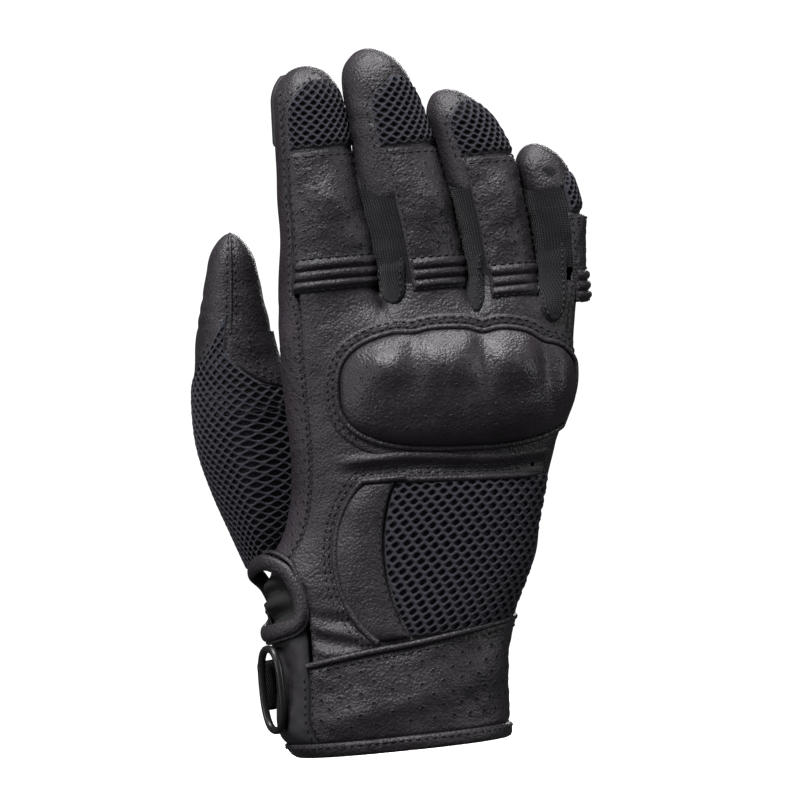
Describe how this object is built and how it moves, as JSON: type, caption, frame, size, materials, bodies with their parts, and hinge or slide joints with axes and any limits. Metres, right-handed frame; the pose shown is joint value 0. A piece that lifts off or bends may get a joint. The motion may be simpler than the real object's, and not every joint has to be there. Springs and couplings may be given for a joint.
{
  "type": "motorcycle riding glove",
  "caption": "Short leather motorcycle riding glove for the right hand, with a knuckle guard, mesh and perforated panels and a ring-and-strap cuff.",
  "frame": {"origin": "middle of the wrist opening, in the plane of the hem", "axes": "+Z from the wrist opening to the fingertips, -Y towards the back of the hand, +Y towards the palm, -X towards the thumb, +X towards the little finger"},
  "size_m": [0.1449, 0.058, 0.2455],
  "materials": {
    "goat_leather": "satin",
    "strip_leather": "satin",
    "spacer_mesh": "matte",
    "ribbed_knit": "matte",
    "black_synthetic": "matte",
    "hard_plastic": "satin",
    "foam_padding": "matte"
  },
  "bodies": {
    "hand": {"back_panel": "goat_leather", "side_strip": "strip_leather", "palm_panel": "goat_leather", "outer_side_panel": "ribbed_knit", "palm_reinforcement": "goat_leather", "knuckle_foam": "foam_padding", "knuckle_shell": "hard_plastic", "knuckle_cover": "goat_leather", "pad_leather": "goat_leather", "pad_foam": "foam_padding", "pad_mesh": "spacer_mesh", "fourchette_index_middle": "ribbed_knit", "fourchette_middle_ring": "ribbed_knit", "fourchette_ring_little": "ribbed_knit", "thumb_mesh_gusset": "spacer_mesh", "thumb_web": "goat_leather", "thumb_palm_gusset": "goat_leather", "cuff_band": "goat_leather", "cuff_palm": "goat_leather", "strap_panel": "black_synthetic", "hem_binding": "goat_leather", "vent_piping": "goat_leather", "oval_ring": "hard_plastic", "closure_strap": "black_synthetic", "loop_patch": "ribbed_knit", "strap_loop": "black_synthetic"},
    "thumb_lower": {"thumb_shell": "goat_leather"},
    "thumb_end": {"thumb_tip": "goat_leather"},
    "strap_end": {"strap_tab": "black_synthetic", "hook_patch": "black_synthetic"},
    "index_proximal": {"index_flex_ribs": "goat_leather", "index_proximal_back": "goat_leather", "index_proximal_underside": "ribbed_knit"},
    "index_middle": {"index_middle_back": "goat_leather", "index_middle_underside": "ribbed_knit"},
    "index_distal": {"index_tip": "goat_leather", "index_tip_mesh": "spacer_mesh", "index_touch_pad": "black_synthetic"},
    "middle_proximal": {"middle_flex_ribs": "goat_leather", "middle_proximal_back": "goat_leather", "middle_proximal_underside": "ribbed_knit"},
    "middle_middle": {"middle_middle_back": "goat_leather", "middle_middle_underside": "ribbed_knit"},
    "middle_distal": {"middle_tip": "goat_leather", "middle_tip_mesh": "spacer_mesh"},
    "ring_proximal": {"ring_flex_ribs": "goat_leather", "ring_proximal_back": "goat_leather", "ring_proximal_underside": "ribbed_knit"},
    "ring_middle": {"ring_middle_back": "goat_leather", "ring_middle_underside": "ribbed_knit"},
    "ring_distal": {"ring_tip": "goat_leather", "ring_tip_mesh": "spacer_mesh"},
    "little_proximal": {"little_flex_ribs": "goat_leather", "little_proximal_back": "goat_leather", "little_proximal_underside": "ribbed_knit"},
    "little_middle": {"little_middle_back": "goat_leather", "little_middle_underside": "ribbed_knit"},
    "little_distal": {"little_tip": "goat_leather", "little_tip_mesh": "spacer_mesh"}
  },
  "joints": [
    {"name": "index_base_bend", "type": "hinge", "parent": "hand", "child": "index_proximal", "pos_m": [-0.00773, 0.01406, 0.162], "axis": [-1, 0, 0], "range_deg": [0, 70], "stiffness_Nm_per_rad": 0.03},
    {"name": "index_mid_bend", "type": "hinge", "parent": "index_proximal", "child": "index_middle", "pos_m": [-0.00822, 0.0132, 0.186], "axis": [-1, 0, 0], "range_deg": [0, 85], "stiffness_Nm_per_rad": 0.02},
    {"name": "index_tip_bend", "type": "hinge", "parent": "index_middle", "child": "index_distal", "pos_m": [-0.00873, 0.01332, 0.211], "axis": [-1, 0, 0], "range_deg": [0, 43], "stiffness_Nm_per_rad": 0.015},
    {"name": "middle_base_bend", "type": "hinge", "parent": "hand", "child": "middle_proximal", "pos_m": [0.02605, 0.01306, 0.162], "axis": [-1, 0, 0], "range_deg": [0, 70], "stiffness_Nm_per_rad": 0.03},
    {"name": "middle_mid_bend", "type": "hinge", "parent": "middle_proximal", "child": "middle_middle", "pos_m": [0.0231, 0.01315, 0.185], "axis": [-1, 0, 0], "range_deg": [0, 85], "stiffness_Nm_per_rad": 0.02},
    {"name": "middle_tip_bend", "type": "hinge", "parent": "middle_middle", "child": "middle_distal", "pos_m": [0.01875, 0.01338, 0.211], "axis": [-1, 0, 0], "range_deg": [0, 43], "stiffness_Nm_per_rad": 0.015},
    {"name": "ring_base_bend", "type": "hinge", "parent": "hand", "child": "ring_proximal", "pos_m": [0.05287, 0.01337, 0.162], "axis": [-1, 0, 0], "range_deg": [0, 70], "stiffness_Nm_per_rad": 0.03},
    {"name": "ring_mid_bend", "type": "hinge", "parent": "ring_proximal", "child": "ring_middle", "pos_m": [0.0516, 0.01355, 0.18], "axis": [-1, 0, 0], "range_deg": [0, 85], "stiffness_Nm_per_rad": 0.02},
    {"name": "ring_tip_bend", "type": "hinge", "parent": "ring_middle", "child": "ring_distal", "pos_m": [0.04801, 0.01393, 0.204], "axis": [-1, 0, 0], "range_deg": [0, 43], "stiffness_Nm_per_rad": 0.015},
    {"name": "little_base_bend", "type": "hinge", "parent": "hand", "child": "little_proximal", "pos_m": [0.07458, 0.01522, 0.162], "axis": [-1, 0, 0], "range_deg": [0, 70], "stiffness_Nm_per_rad": 0.03},
    {"name": "little_mid_bend", "type": "hinge", "parent": "little_proximal", "child": "little_middle", "pos_m": [0.07412, 0.01569, 0.176], "axis": [-1, 0, 0], "range_deg": [0, 85], "stiffness_Nm_per_rad": 0.02},
    {"name": "little_tip_bend", "type": "hinge", "parent": "little_middle", "child": "little_distal", "pos_m": [0.07266, 0.01618, 0.19], "axis": [-1, 0, 0], "range_deg": [0, 43], "stiffness_Nm_per_rad": 0.015},
    {"name": "thumb_base_bend", "type": "hinge", "parent": "hand", "child": "thumb_lower", "pos_m": [-0.04405, 0.03023, 0.136], "axis": [-1, 0, 0], "range_deg": [0, 25], "stiffness_Nm_per_rad": 0.03},
    {"name": "thumb_tip_bend", "type": "hinge", "parent": "thumb_lower", "child": "thumb_end", "pos_m": [-0.04292, 0.02566, 0.158], "axis": [-1, 0, 0], "range_deg": [0, 50], "stiffness_Nm_per_rad": 0.02},
    {"name": "strap_peel", "type": "hinge", "parent": "hand", "child": "strap_end", "pos_m": [-0.04425, 0.00703, 0.026], "axis": [0, 0, 1], "range_deg": [0, 95]}
  ],
  "couplings": [
    {"joint": "index_tip_bend", "follows": "index_mid_bend", "ratio": 0.5},
    {"joint": "middle_tip_bend", "follows": "middle_mid_bend", "ratio": 0.5},
    {"joint": "ring_tip_bend", "follows": "ring_mid_bend", "ratio": 0.5},
    {"joint": "little_tip_bend", "follows": "little_mid_bend", "ratio": 0.5}
  ]
}
